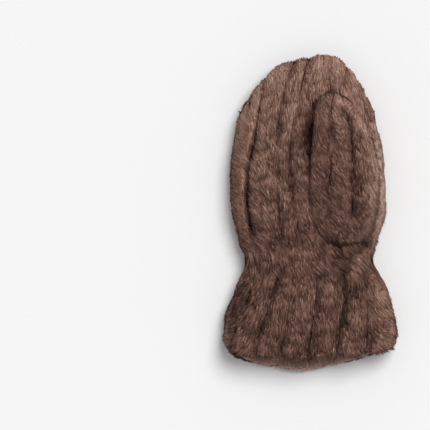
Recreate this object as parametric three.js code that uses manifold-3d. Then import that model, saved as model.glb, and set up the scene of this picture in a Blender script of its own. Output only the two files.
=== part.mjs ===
// A fur mitten that lies on its back, with its palm and thumb up.
// The hand and the cuff are each two panels, palm and back, sewn together along the sides, and drawn in at the wrist.
// The thumb is a hollow stall over a hole in the palm. Each panel is hide with fur on it: strips that run its length,
// grooves between them, and low locks along each strip, fused to the hide. All pieces are open to the hand inside.
// +X is the thumb's side, +Y the fingertips and +Z up. The origin is on the surface that the mitten lies on, under its
// middle. Lengths are in millimetres.
import * as THREE from "three";
import Module from "manifold-3d";

const wasm = await Module();
wasm.setup();
const { lerp, clamp, smoothstep } = THREE.MathUtils;

// Driving dimensions.
const handLength = 180; // wrist seam to fingertips
const handWidth = 135; // across the knuckles
const handHeight = 38; // up to the top of the palm, under the thumb
const wristWidth = 109; // drawn in by the gather
const wristHeight = 31;
const cuffLength = 99; // wrist seam to the middle of the back's hem
const hemWidth = 150;
const hemHeight = 37;
const palmHemSetback = 12; // the palm's hem stops this far short of the back's
const seamHeight = 15; // side seams above the surface
const furWall = 8; // hide with its fur pressed down
const hemWall = 3; // where the fur thins out at the opening
const hemRound = 9; // length over which it thins out
const thumbLength = 132; // base seam to tip
const thumbWidth = 58;
const thumbRise = 21; // above the palm
const thumbWall = 6;
const grooveDepth = 3.6; // between two strips of fur
const lockHeight = 1.3; // step at the end of a lock
const lockLength = 26;
const puffHeight = 4; // of the low mounds in the palm
const pressDepth = 1.3; // how much of the back's fur the surface presses flat
const seamGap = 0.3; // between two sewn edges

const wristY = (cuffLength - handLength) / 2;
const shoulderShare = 0.707; // of the hand's length, where the round of the fingertips starts
const cornerShare = 0.72; // of the cuff's length, where the round of the hem starts

// The hand's side edges from the wrist to the fingertips' round. left and right are shares of the widening from half
// the wrist to half the hand.
const handSides = [
  { at: 0, left: 0, right: 0 },
  { at: 0.075, left: 0.45, right: 0.24 },
  { at: 0.175, left: 0.65, right: 0.5 },
  { at: 0.315, left: 1, right: 0.77 },
  { at: 0.485, left: 1.12, right: 0.85 },
  { at: 0.655, left: 1.06, right: 0.73 },
  { at: 0.78, left: 0.85, right: 0.62 },
  { at: 0.905, left: 0.69, right: 0.31 },
  { at: 1, left: 0.52, right: 0.18 },
];
// The round of the fingertips from the left shoulder, -1, to the right one, 1: share of the way across and of the rise.
const fingertips = [
  { at: -1, across: 0, rise: 0 },
  { at: -0.7, across: 0.1, rise: 0.38 },
  { at: -0.45, across: 0.22, rise: 0.7 },
  { at: -0.22, across: 0.355, rise: 0.88 },
  { at: 0, across: 0.5, rise: 0.95 },
  { at: 0.2, across: 0.62, rise: 1 },
  { at: 0.42, across: 0.747, rise: 0.93 },
  { at: 0.62, across: 0.84, rise: 0.72 },
  { at: 0.8, across: 0.92, rise: 0.45 },
  { at: 1, across: 1, rise: 0 },
];
// The cuff's side edges from the wrist to the hem's round, as shares of the flare from half the wrist to half the hem.
const cuffSides = [
  { at: 0, left: 0, right: 0 },
  { at: 0.1, left: 0.05, right: 0.1 },
  { at: 0.25, left: 0.2, right: 0.4 },
  { at: 0.4, left: 0.42, right: 0.66 },
  { at: 0.55, left: 0.6, right: 0.77 },
  { at: 0.7, left: 0.79, right: 0.92 },
  { at: 0.85, left: 0.9, right: 0.98 },
  { at: 1, left: 0.95, right: 1.05 },
];
// The hem from its left corner to its right one: share of the way across and of the drop below the corners.
const hem = [
  { at: -1, across: 0, drop: 0 },
  { at: -0.9, across: 0.018, drop: 0.38 },
  { at: -0.75, across: 0.06, drop: 0.61 },
  { at: -0.5, across: 0.17, drop: 0.8 },
  { at: -0.25, across: 0.31, drop: 0.92 },
  { at: 0, across: 0.45, drop: 1 },
  { at: 0.25, across: 0.59, drop: 0.87 },
  { at: 0.5, across: 0.735, drop: 0.72 },
  { at: 0.75, across: 0.87, drop: 0.5 },
  { at: 0.9, across: 0.945, drop: 0.29 },
  { at: 1, across: 1, drop: 0 },
];
// Heights along the hand and the cuff. top is the share of the way from the wrist's height to the panel's full height,
// and seam is a share of seamHeight.
const handHeights = [
  { at: 0, top: 0, seam: 0.9 },
  { at: 0.12, top: 0.6, seam: 0.98 },
  { at: 0.3, top: 1, seam: 1 },
  { at: 0.6, top: 0.9, seam: 0.95 },
  { at: 0.85, top: 0.55, seam: 0.85 },
  { at: 1, top: 0.3, seam: 0.8 },
];
const cuffHeights = [
  { at: 0, top: 0, seam: 0.9 },
  { at: 0.3, top: 0.45, seam: 0.95 },
  { at: 0.7, top: 1, seam: 1 },
  { at: 1, top: 1, seam: 1 },
];
// Grooves between the strips of fur: their place across at the wrist, halfway, at three quarters and at the far edge,
// with shares of grooveDepth on the palm, on the back and at the far edge, and where along the panel each one starts.
const handGrooves = [
  { wrist: -0.97, middle: -0.93, upper: -0.87, far: -0.78, palm: 0, back: 0.6, end: 0.5, start: 0.7 },
  { wrist: -0.86, middle: -0.77, upper: -0.64, far: -0.52, palm: 1, back: 0.7, end: 0.7, start: 0.12 },
  { wrist: -0.39, middle: -0.35, upper: -0.31, far: -0.13, palm: 0.8, back: 0.7, end: 0.7, start: 0.1 },
  { wrist: -0.12, middle: -0.2, upper: -0.11, far: 0.02, palm: 0.8, back: 0.8, end: 0.8, start: 0.1 },
  { wrist: 0.2, middle: 0.25, upper: 0.27, far: 0.33, palm: 0.7, back: 0.7, end: 0.2, start: 0.6 },
  { wrist: 0.5, middle: 0.5, upper: 0.5, far: 0.54, palm: 0.3, back: 0.6, end: 0.6, start: 0.7 },
  { wrist: 0.84, middle: 0.89, upper: 0.86, far: 0.71, palm: 0.7, back: 0.6, end: 0.6, start: 0.15 },
  { wrist: 0.94, middle: 0.97, upper: 0.95, far: 0.86, palm: 0.2, back: 0.4, end: 0.5, start: 0.75 },
];
const cuffGrooves = [
  { wrist: -0.8, middle: -0.76, upper: -0.77, far: -0.8, palm: 0.5, back: 0.7, end: 0.3, start: 0.05 },
  { wrist: -0.46, middle: -0.45, upper: -0.46, far: -0.48, palm: 1, back: 0.8, end: 0.6, start: 0.05 },
  { wrist: -0.15, middle: -0.18, upper: -0.2, far: -0.22, palm: 0.4, back: 0.7, end: 0.6, start: 0.3 },
  { wrist: 0.12, middle: 0.09, upper: 0.08, far: 0.07, palm: 0.6, back: 0.8, end: 0.5, start: 0.1 },
  { wrist: 0.54, middle: 0.45, upper: 0.4, far: 0.37, palm: 1, back: 0.8, end: 0.7, start: 0.05 },
  { wrist: 0.8, middle: 0.73, upper: 0.7, far: 0.68, palm: 0.6, back: 0.7, end: 0.4, start: 0.05 },
];
// Mounds, and hollows where height is negative, in the palm of the hand: centre and reach across and along, and height.
const palmPuffs = [
  { across: -0.55, along: 0.19, wide: 0.24, long: 0.07, height: 0.9 },
  { across: -0.53, along: 0.36, wide: 0.22, long: 0.07, height: 0.8 },
  { across: -0.48, along: 0.54, wide: 0.24, long: 0.08, height: 0.6 },
  { across: -0.1, along: 0.07, wide: 0.3, long: 0.05, height: -0.5 },
  { across: -0.02, along: 0.62, wide: 0.08, long: 0.2, height: -0.8 },
  { across: 0.93, along: 0.4, wide: 0.06, long: 0.25, height: 0.5 },
];
// The thumb on the palm, from its base seam to its tip: its centre across, and shares of thumbWidth and thumbRise.
// full is how full its sides are: low where they slope into the palm, high where the free thumb stands on it.
const thumbSections = [
  { at: 0, centre: 0.5, width: 0.34, rise: 0.25, full: 1.4 },
  { at: 0.03, centre: 0.5, width: 0.62, rise: 0.38, full: 1.4 },
  { at: 0.08, centre: 0.49, width: 0.84, rise: 0.5, full: 1.4 },
  { at: 0.18, centre: 0.47, width: 0.97, rise: 0.66, full: 1.4 },
  { at: 0.35, centre: 0.46, width: 1, rise: 0.84, full: 1.5 },
  { at: 0.55, centre: 0.47, width: 1, rise: 0.96, full: 1.9 },
  { at: 0.7, centre: 0.48, width: 0.96, rise: 1, full: 2.3 },
  { at: 0.85, centre: 0.46, width: 0.86, rise: 1, full: 2.3 },
  { at: 0.94, centre: 0.43, width: 0.7, rise: 0.85, full: 2.1 },
  { at: 1, centre: 0.4, width: 0.36, rise: 0.5, full: 2 },
];
// Grooves down the thumb, by their place across it at its base and its tip, and where along it each one starts.
const thumbGrooves = [
  { base: -0.5, tip: -0.55, depth: 0.35, start: 0.1 },
  { base: 0.38, tip: 0.12, depth: 1, start: 0.15 },
];
const thumbBase = 0.075; // where its base seam lies along the hand
const thumbHole = { from: 0.1, to: 0.5 }; // the part of the thumb that opens into the hand
const holeOvercut = 6; // how far the hole's cut runs on past the palm's hide
const thumbReach = 0.97; // how far across the palm it may lie

// How each shell rounds off towards its edges.
const palmAcross = { square: 2.6, full: 2.3 };
const palmAlong = { square: 5, full: 2.4 };
const backAcross = { square: 4, full: 2.5 };
const backAlong = { square: 8, full: 2.5 };
const hemThinning = { square: 2, full: 2 };
const thumbAcross = { square: 2.6 };
const thumbAlong = { square: 8, full: 2.4 };

// Grids. A strip of fur has a column at each of these shares of its width, and the edge strips are finer at the seam.
const stripColumns = [0, 0.14, 0.38, 0.64, 0.88];
const thumbColumns = [-1, -0.98, -0.92, -0.8, -0.62, -0.42, -0.3, -0.18, 0, 0.18, 0.32, 0.42, 0.52, 0.68, 0.82, 0.93];
const thumbEdge = [0.98, 1];
const thumbRows = [0, 0.015, 0.05, 0.1, 0.17, 0.25, 0.34, 0.43, 0.52, 0.61, 0.7, 0.78, 0.85, 0.91, 0.95, 0.98, 1];
const handRows = [0, 0.03, 0.08, 0.14, 0.2, 0.26, 0.32, 0.38, 0.44, 0.5, 0.56, 0.62, 0.68, 0.74, 0.79, 0.84];
const tipRows = [0.88, 0.92, 0.95, 0.975, 0.99, 1];
const cuffRows = [0, 0.06, 0.14, 0.24, 0.34, 0.44, 0.54, 0.64, 0.74, 0.83, 0.9, 0.95, 0.98, 1];

// A smooth curve through one column of a table, whose rows are placed by their at.
function curve(table, column, at) {
  const last = table.length - 1;
  let i = 0;
  while (i < last - 1 && at > table[i + 1].at) i++;
  const slope = (k) => {
    const [a, b] = [table[Math.max(k - 1, 0)], table[Math.min(k + 1, last)]];
    return (b[column] - a[column]) / (b.at - a.at);
  };
  const span = table[i + 1].at - table[i].at;
  const t = clamp((at - table[i].at) / span, 0, 1);
  const ends = (1 + 2 * t) * (1 - t) ** 2 * table[i][column] + t * t * (3 - 2 * t) * table[i + 1][column];
  return ends + span * t * (1 - t) * ((1 - t) * slope(i) - t * slope(i + 1));
}

// A round shoulder: 1 in the middle and 0 at an edge, which it meets upright. A higher square keeps it level for
// longer, and a higher full makes it drop more steeply.
const roundOff = (share, { square, full }) => Math.max(0, 1 - Math.abs(share) ** square) ** (1 / full);

// The four edges of a panel, seen from above and inset by a wall, as functions that give [x, y].
function handEdges(inset) {
  const [wrist, hand] = [wristWidth / 2 - inset, handWidth / 2 - inset];
  const side = (column, v) => wrist + (hand - wrist) * curve(handSides, column, v);
  const shoulder = wristY + shoulderShare * handLength - inset / 2;
  const [from, to] = [-side("left", 1), side("right", 1)];
  const rise = wristY + handLength - inset - shoulder;
  return {
    near: (u) => [wrist * u, wristY + seamGap / 2],
    far: (u) => [
      lerp(from, to, curve(fingertips, "across", u)),
      shoulder + rise * curve(fingertips, "rise", u),
    ],
    left: (v) => [-side("left", v), lerp(wristY + seamGap / 2, shoulder, v)],
    right: (v) => [side("right", v), lerp(wristY + seamGap / 2, shoulder, v)],
  };
}

function cuffEdges(inset, setback) {
  const [wrist, opening] = [wristWidth / 2 - inset, hemWidth / 2 - inset];
  const side = (column, v) => wrist + (opening - wrist) * curve(cuffSides, column, v);
  const corner = wristY - cornerShare * cuffLength;
  const [from, to] = [-side("left", 1), side("right", 1)];
  const drop = cuffLength * (1 - cornerShare) - setback;
  return {
    near: (u) => [wrist * u, wristY - seamGap / 2],
    far: (u) => [lerp(from, to, curve(hem, "across", u)), corner - drop * curve(hem, "drop", u)],
    left: (v) => [-side("left", v), lerp(wristY - seamGap / 2, corner, v)],
    right: (v) => [side("right", v), lerp(wristY - seamGap / 2, corner, v)],
  };
}

// The point at u across, -1 to 1, and v along, 0 to 1, of the patch that four edges bound.
function inPatch(edges, u, v) {
  const s = (u + 1) / 2;
  const [near, far, left, right] = [edges.near(u), edges.far(u), edges.left(v), edges.right(v)];
  const [leftEnd, rightEnd] = [edges.left(1), edges.right(1)];
  const [leftStart, rightStart] = [edges.near(-1), edges.near(1)];
  return [0, 1].map((k) => {
    const corners = lerp(lerp(leftStart[k], rightStart[k], s), lerp(leftEnd[k], rightEnd[k], s), v);
    return lerp(near[k], far[k], v) + lerp(left[k], right[k], s) - corners;
  });
}

// The four shells as smooth surfaces, before their fur is shaped. Each gives the point at u and v of the fur side, or
// of the hide side where hide is true.
function handSurface(isPalm, hide) {
  const edges = handEdges(hide ? furWall : 0);
  const wall = hide ? furWall : 0;
  return (u, v) => {
    const [x, y] = inPatch(edges, u, v);
    const seam = seamHeight * curve(handHeights, "seam", v);
    const top = lerp(wristHeight, handHeight, curve(handHeights, "top", v));
    const over = roundOff(u, palmAcross) * roundOff(v, palmAlong);
    const under = roundOff(u, backAcross) * roundOff(v, backAlong);
    if (isPalm) return [x, y, seam + seamGap / 2 + (top - wall - seam) * over];
    return [x, y, lerp(seam - seamGap / 2, hide ? furWall : -pressDepth, under)];
  };
}

function cuffSurface(isPalm, hide) {
  const edges = cuffEdges(hide ? furWall : 0, isPalm ? palmHemSetback : 0);
  const thinFrom = 1 - hemRound / cuffLength;
  return (u, v) => {
    const [x, y] = inPatch(edges, u, v);
    const intoHem = Math.max(0, (v - thinFrom) / (1 - thinFrom));
    const wall = lerp(hemWall, furWall, roundOff(intoHem, hemThinning));
    const seam = seamHeight * curve(cuffHeights, "seam", v);
    const top = lerp(wristHeight, hemHeight, curve(cuffHeights, "top", v)) - (hide ? furWall : furWall - wall);
    if (isPalm) return [x, y, seam + seamGap / 2 + (top - seam) * roundOff(u, palmAcross)];
    return [x, y, lerp(seam - seamGap / 2, hide ? wall : -pressDepth, roundOff(u, backAcross))];
  };
}

// Where a groove lies across a panel at v along it.
function grooveAt(groove, v) {
  const line = [
    { at: 0, u: groove.wrist },
    { at: 0.5, u: groove.middle },
    { at: 0.75, u: groove.upper },
    { at: 1, u: groove.far },
  ];
  return curve(line, "u", v);
}

// How deep a groove is at v along a panel.
function depthAt(groove, side, v) {
  const begun = smoothstep(v, groove.start - 0.08, groove.start + 0.08);
  return grooveDepth * lerp(groove[side] * begun, groove.end, smoothstep(v, 0.82, 0.97));
}

// How far the fur stands out from the smooth shell at share t across a strip, between two grooves of these depths.
function stripRelief(t, before, after) {
  const crown = Math.sin(Math.PI * t) ** 0.45;
  return -(t < 0.5 ? before : after) * (1 - crown);
}

// Locks lie along a strip like shingles, their ends towards the fingertips, each strip half a lock off its neighbour.
function lockRelief(t, strip, along) {
  const phase = along / lockLength + (strip % 2) / 2 + 0.12 * Math.sin(2.3 * strip);
  return lockHeight * (phase - Math.floor(phase) - 0.5) * Math.sin(Math.PI * t);
}

function puffRelief(puffs, u, v) {
  const heights = puffs.map((p) => {
    const away = ((u - p.across) / p.wide) ** 2 + ((v - p.along) / p.long) ** 2;
    return puffHeight * p.height * Math.exp(-away);
  });
  return heights.reduce((sum, height) => sum + height, 0);
}

// The fur side of a panel as rows of points, with its strips, grooves, locks and mounds pushed out along the shell's
// own normals. rise lifts it all, for a solid that has to clear it.
function furGrid(part, isPalm, rise = 0) {
  const surface = part.surface(isPalm, false);
  const side = isPalm ? "palm" : "back";
  const puffs = isPalm ? part.puffs : [];
  const cells = part.rows.map((v) => {
    const lines = [-1, ...part.grooves.map((groove) => grooveAt(groove, v)), 1];
    const depths = [0, ...part.grooves.map((groove) => depthAt(groove, side, v)), 0];
    const begun = smoothstep(v, 0, 0.06);
    const ease = begun * (1 - smoothstep(v, 0.9, 1));
    const row = lines.slice(1).flatMap((end, strip) =>
      stripColumns.map((t) => {
        const u = lerp(lines[strip], end, seamEase(t, strip, part.grooves.length));
        const strips = stripRelief(t, depths[strip], depths[strip + 1]) * begun;
        const locks = lockRelief(t, strip, v * part.length) * ease;
        return { u, v, out: strips + locks + puffRelief(puffs, u, v) * ease + rise };
      }),
    );
    return [...row, { u: 1, v, out: rise }];
  });
  const smooth = cells.map((row) => row.map(({ u, v }) => new THREE.Vector3(...surface(u, v))));
  const turn = isPalm ? part.turn : -part.turn;
  return smooth.map((row, r) => row.map((_, c) => pushedOut(smooth, r, c, turn * cells[r][c].out)));
}

// Columns of the first and last strips crowd towards the seam, where the shell turns upright.
function seamEase(t, strip, lastStrip) {
  if (strip === 0) return t ** 1.8;
  if (strip === lastStrip) return 1 - (1 - t) ** 1.8;
  return t;
}

// A point of a grid moved along the grid's normal there, or level with the seam where it lies on the panel's edge.
function pushedOut(smooth, r, c, out) {
  const [lastRow, lastColumn] = [smooth.length - 1, smooth[0].length - 1];
  const across = smooth[r][Math.min(c + 1, lastColumn)].clone().sub(smooth[r][Math.max(c - 1, 0)]);
  const along = smooth[Math.min(r + 1, lastRow)][c].clone().sub(smooth[Math.max(r - 1, 0)][c]);
  const normal = across.cross(along);
  if (r === lastRow || c === 0 || c === lastColumn) normal.z = 0;
  const moved = smooth[r][c].clone().addScaledVector(normal.normalize(), out);
  moved.z = Math.max(0, moved.z);
  return moved;
}

// The hide side of a panel, plain and on a coarse grid.
function hideGrid(surface, columns, rows) {
  const shares = (n, ease) => Array.from({ length: n + 1 }, (_, i) => ease(i / n));
  const us = shares(columns, (t) => -Math.cos(Math.PI * t));
  return shares(rows, (t) => Math.sin((Math.PI / 2) * t)).map((v) =>
    us.map((u) => new THREE.Vector3(...surface(u, v))),
  );
}

// Two grids joined round their rims into one closed solid.
function closedSheet(outer, inner) {
  const points = [...outer.flat(), ...inner.flat()];
  const faces = [];
  const index = (grid, first) => grid.map((row, r) => row.map((_, c) => first + r * row.length + c));
  const [a, b] = [index(outer, 0), index(inner, outer.flat().length)];
  addGrid(a, faces, false);
  addGrid(b, faces, true);
  const sides = (grid) => [
    grid[0],
    grid.map((row) => row[row.length - 1]),
    [...grid[grid.length - 1]].reverse(),
    grid.map((row) => row[0]).reverse(),
  ];
  const innerSides = sides(b);
  sides(a).forEach((side, i) => addBand(side, innerSides[i], faces));
  return solidOf(points, faces);
}

function addGrid(grid, faces, turned) {
  for (let r = 0; r < grid.length - 1; r++)
    for (let c = 0; c < grid[0].length - 1; c++) {
      const corners = [grid[r][c], grid[r][c + 1], grid[r + 1][c + 1], grid[r + 1][c]];
      if (turned) corners.reverse();
      faces.push(corners[0], corners[1], corners[2], corners[0], corners[2], corners[3]);
    }
}

// A band of triangles between two edges that may have different numbers of points.
function addBand(a, b, faces) {
  let [i, j] = [0, 0];
  while (i < a.length - 1 || j < b.length - 1) {
    const next = j === b.length - 1 || (i + 1) / (a.length - 1) <= (j + 1) / (b.length - 1);
    if (i < a.length - 1 && next) {
      faces.push(a[i + 1], a[i], b[j]);
      i++;
    } else {
      faces.push(a[i], b[j], b[j + 1]);
      j++;
    }
  }
}

// A closed solid with its faces turned outwards, whichever way its grids ran.
function solidOf(points, faces) {
  const made = (triVerts) => {
    const vertProperties = new Float32Array(points.flatMap((p) => [p.x, p.y, p.z]));
    return new wasm.Manifold(new wasm.Mesh({ numProp: 3, vertProperties, triVerts }));
  };
  const solid = made(new Uint32Array(faces));
  return solid.volume() > 0 ? solid : made(new Uint32Array([...faces].reverse()));
}

function meshOf(name, solid, material) {
  const { numProp, numVert, vertProperties, triVerts } = solid.getMesh();
  const position = new Float32Array(numVert * 3);
  for (let i = 0; i < numVert; i++) {
    position.set(vertProperties.subarray(i * numProp, i * numProp + 3), i * 3);
  }
  const geometry = new THREE.BufferGeometry();
  geometry.setAttribute("position", new THREE.BufferAttribute(position, 3));
  geometry.setIndex(new THREE.BufferAttribute(triVerts, 1));
  geometry.computeVertexNormals();
  const mesh = new THREE.Mesh(geometry, material);
  mesh.name = name;
  return mesh;
}

function panel(part, isPalm) {
  return closedSheet(furGrid(part, isPalm), hideGrid(part.surface(isPalm, true), part.hideColumns, part.hideRows));
}

// Everything under the palm's fur, raised by the gap that a sewn edge keeps. The thumb is cut back to it.
function underPalm() {
  const top = furGrid(hand, true, seamGap);
  const floor = top.map((row) => row.map((point) => new THREE.Vector3(point.x, point.y, -1)));
  return closedSheet(top, floor);
}

// The thumb as a mound on the palm, inset by a wall. floorAt says how high above the palm its floor is at w along the
// thumb, and its underside lies a little lower still.
function thumbMound(wall, floorAt, underside) {
  const palm = handSurface(true, false);
  const place = (p, w) => {
    const half = Math.max(0, (thumbWidth / 2) * curve(thumbSections, "width", w) - wall) / (handWidth / 2);
    const v = thumbBase + (wall + w * (thumbLength - 2 * wall)) / handLength;
    const u = clamp(curve(thumbSections, "centre", w) + p * half, -thumbReach, thumbReach);
    return new THREE.Vector3(...palm(u, v));
  };
  const top = thumbRows.map((w) =>
    [...thumbColumns, ...thumbEdge].map((p) => {
      const full = curve(thumbSections, "full", w);
      const round = roundOff(p, { ...thumbAcross, full }) * roundOff(2 * w - 1, thumbAlong);
      const height = thumbRise * curve(thumbSections, "rise", w) - wall;
      const point = place(p, w);
      point.z += lerp(floorAt(w), Math.max(height, floorAt(w) + seamGap), round);
      if (wall === 0) point.z += thumbRelief(p, w) * round;
      return point;
    }),
  );
  const bottom = thumbRows.map((w) =>
    [...thumbColumns, ...thumbEdge].map((p) => {
      const point = place(p, w);
      point.z += floorAt(w) - underside;
      return point;
    }),
  );
  return closedSheet(top, bottom);
}

function thumbRelief(p, w) {
  const cuts = thumbGrooves.map((groove) => {
    const away = (p - lerp(groove.base, groove.tip, w)) / 0.14;
    return grooveDepth * groove.depth * smoothstep(w, groove.start, groove.start + 0.1) * Math.exp(-away * away);
  });
  const between = lerp(thumbGrooves[1].base, thumbGrooves[1].tip, w);
  return lockRelief(0.5, p < between ? 0 : 1, w * thumbLength) - cuts.reduce((sum, cut) => sum + cut, 0);
}

const fur = new THREE.MeshStandardMaterial({ name: "fur", color: 0x6b4c40, roughness: 0.95, metalness: 0 });
const thumbFur = new THREE.MeshStandardMaterial({ name: "thumb_fur", color: 0x70513f, roughness: 0.95, metalness: 0 });

const hand = {
  surface: handSurface,
  rows: [...handRows, ...tipRows],
  grooves: handGrooves,
  puffs: palmPuffs,
  length: handLength,
  turn: 1,
  hideColumns: 14,
  hideRows: 10,
};
const cuff = {
  surface: cuffSurface,
  rows: cuffRows,
  grooves: cuffGrooves,
  puffs: [],
  length: cuffLength,
  turn: -1,
  hideColumns: 14,
  hideRows: 6,
};

const overHole = (w) => w > thumbHole.from && w < thumbHole.to;
const thumbCore = thumbMound(thumbWall, (w) => (overHole(w) ? -furWall - holeOvercut : thumbWall), seamGap);
const thumb = thumbMound(0, () => 0, furWall / 2).subtract(thumbCore).subtract(underPalm());

const mitten = new THREE.Group();
mitten.name = "fur_mitten";
mitten.add(meshOf("palm_panel", panel(hand, true).subtract(thumbCore), fur));
mitten.add(meshOf("back_panel", panel(hand, false), fur));
mitten.add(meshOf("thumb", thumb, thumbFur));
mitten.add(meshOf("cuff_palm", panel(cuff, true), fur));
mitten.add(meshOf("cuff_back", panel(cuff, false), fur));

export default mitten;
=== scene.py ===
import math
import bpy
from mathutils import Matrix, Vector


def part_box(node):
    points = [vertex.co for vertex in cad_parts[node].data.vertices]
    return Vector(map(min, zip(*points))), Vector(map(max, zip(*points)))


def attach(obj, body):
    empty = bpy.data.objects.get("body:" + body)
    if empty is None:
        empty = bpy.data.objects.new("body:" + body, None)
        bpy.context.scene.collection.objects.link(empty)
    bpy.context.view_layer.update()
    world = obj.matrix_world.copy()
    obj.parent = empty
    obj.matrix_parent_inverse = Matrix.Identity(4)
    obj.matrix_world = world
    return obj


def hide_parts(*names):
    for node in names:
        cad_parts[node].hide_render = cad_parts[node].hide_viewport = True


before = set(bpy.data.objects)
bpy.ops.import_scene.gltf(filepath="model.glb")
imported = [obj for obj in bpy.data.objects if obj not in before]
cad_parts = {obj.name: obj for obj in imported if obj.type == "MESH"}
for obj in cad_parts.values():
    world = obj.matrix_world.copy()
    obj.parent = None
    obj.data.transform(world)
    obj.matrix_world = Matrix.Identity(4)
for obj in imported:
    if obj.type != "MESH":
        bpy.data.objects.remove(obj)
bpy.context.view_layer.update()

# Dresses the fur mitten: hide panels, combed fur on them, and a plain studio. Shapes are worked out in
# millimetres from the sizes below, with the same tables as the solids, and put into meshes in metres.
from types import SimpleNamespace

import bpy
import numpy as np
from mathutils import Vector
from bpy.props import FloatProperty, FloatVectorProperty, IntProperty, PointerProperty

bl_info = {
    "name": "Fur mitten",
    "version": (1, 0, 0),
    "blender": (4, 5, 0),
    "location": "View3D > Sidebar > Mitten",
    "description": "Makes the hide, the fur and the studio of a fur mitten that lies palm up",
    "category": "Add Mesh",
}

MM = 0.001  # metres in a millimetre
CUFF_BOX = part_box("cuff_back")


def table(columns, rows):
    """A table as one array for each named column."""
    return {name: np.array(values, float) for name, values in zip(columns.split(), zip(*rows))}


NAP_STATIONS = (0.05, 0.25, 0.5, 0.75, 0.95)
NAP_COLUMNS = ("wrist", "low", "middle", "upper", "tip")
MARK_COLUMNS = "across along wide long depth"


def nap_table(rows):
    """A combing table: a row for each station across, with an angle for each station along."""
    return table("at " + " ".join(NAP_COLUMNS), rows)


def even_nap(rows):
    """A combing table whose angle at each station across is the same all the way along."""
    return nap_table([(at, *[angle] * len(NAP_COLUMNS)) for at, angle in rows])


# The hand's side edges from wrist to fingertips' round, as shares of the widening from half the wrist
# to half the hand.
HAND_SIDES = table("at left right", [
    (0, 0, 0),
    (0.075, 0.45, 0.24),
    (0.175, 0.65, 0.5),
    (0.315, 1, 0.77),
    (0.485, 1.12, 0.85),
    (0.655, 1.06, 0.73),
    (0.78, 0.85, 0.62),
    (0.905, 0.69, 0.31),
    (1, 0.52, 0.18),
])
# The round of the fingertips from the left shoulder to the right one: share of the way across and of
# the rise.
FINGERTIPS = table("at across out", [
    (-1, 0, 0),
    (-0.7, 0.1, 0.38),
    (-0.45, 0.22, 0.7),
    (-0.22, 0.355, 0.88),
    (0, 0.5, 0.95),
    (0.2, 0.62, 1),
    (0.42, 0.747, 0.93),
    (0.62, 0.84, 0.72),
    (0.8, 0.92, 0.45),
    (1, 1, 0),
])
# The cuff's side edges from wrist to the hem's round, as shares of the flare from half the wrist to
# half the hem.
CUFF_SIDES = table("at left right", [
    (0, 0, 0),
    (0.1, 0.05, 0.1),
    (0.25, 0.2, 0.4),
    (0.4, 0.42, 0.66),
    (0.55, 0.6, 0.77),
    (0.7, 0.79, 0.92),
    (0.85, 0.9, 0.98),
    (1, 0.95, 1.05),
])
# The hem from its left corner to its right one: share of the way across and of the drop below the
# corners.
HEM = table("at across out", [
    (-1, 0, 0),
    (-0.9, 0.018, 0.38),
    (-0.75, 0.06, 0.61),
    (-0.5, 0.17, 0.8),
    (-0.25, 0.31, 0.92),
    (0, 0.45, 1),
    (0.25, 0.59, 0.87),
    (0.5, 0.735, 0.72),
    (0.75, 0.87, 0.5),
    (0.9, 0.945, 0.29),
    (1, 1, 0),
])
# Heights along each part: top as a share of the way from the wrist's height to the full one, seam of
# the seam's height.
HAND_HEIGHTS = table("at top seam", [
    (0, 0, 0.9),
    (0.12, 0.6, 0.98),
    (0.3, 1, 1),
    (0.6, 0.9, 0.95),
    (0.85, 0.55, 0.85),
    (1, 0.3, 0.8),
])
CUFF_HEIGHTS = table("at top seam", [(0, 0, 0.9), (0.3, 0.45, 0.95), (0.7, 1, 1), (1, 1, 1)])
# Grooves between the strips of fur: their place across at four stations along, their depth on the palm,
# on the back and at the far edge as shares of the groove depth, and where along the panel each one
# starts.
HAND_GROOVES = table("wrist middle upper far palm back end start", [
    (-0.97, -0.93, -0.87, -0.78, 0, 0.6, 0.5, 0.7),
    (-0.86, -0.77, -0.64, -0.52, 1, 0.7, 0.7, 0.12),
    (-0.39, -0.35, -0.31, -0.13, 0.8, 0.7, 0.7, 0.1),
    (-0.12, -0.2, -0.11, 0.02, 0.8, 0.8, 0.8, 0.1),
    (0.2, 0.25, 0.27, 0.33, 0.7, 0.7, 0.2, 0.6),
    (0.5, 0.5, 0.5, 0.54, 0.3, 0.6, 0.6, 0.7),
    (0.84, 0.89, 0.86, 0.71, 0.7, 0.6, 0.6, 0.15),
    (0.94, 0.97, 0.95, 0.86, 0.2, 0.4, 0.5, 0.75),
])
CUFF_GROOVES = table("wrist middle upper far palm back end start", [
    (-0.8, -0.76, -0.77, -0.8, 0.5, 0.7, 0.3, 0.05),
    (-0.46, -0.45, -0.46, -0.48, 1, 0.8, 0.6, 0.05),
    (-0.15, -0.18, -0.2, -0.22, 0.4, 0.7, 0.6, 0.3),
    (0.12, 0.09, 0.08, 0.07, 0.6, 0.8, 0.5, 0.1),
    (0.54, 0.45, 0.4, 0.37, 1, 0.8, 0.7, 0.05),
    (0.8, 0.73, 0.7, 0.68, 0.6, 0.7, 0.4, 0.05),
])
GROOVE_STATIONS = np.array([0, 0.5, 0.75, 1])
# Mounds and hollows in the palm: centre and reach across and along, and height as a share of the puff
# height.
PALM_PUFFS = table("across along wide long height", [
    (-0.55, 0.19, 0.24, 0.07, 0.9),
    (-0.53, 0.36, 0.22, 0.07, 0.8),
    (-0.48, 0.54, 0.24, 0.08, 0.6),
    (-0.1, 0.07, 0.3, 0.05, -0.5),
    (-0.02, 0.62, 0.08, 0.2, -1.3),
    (0.93, 0.4, 0.06, 0.25, 0.5),
])
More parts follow.
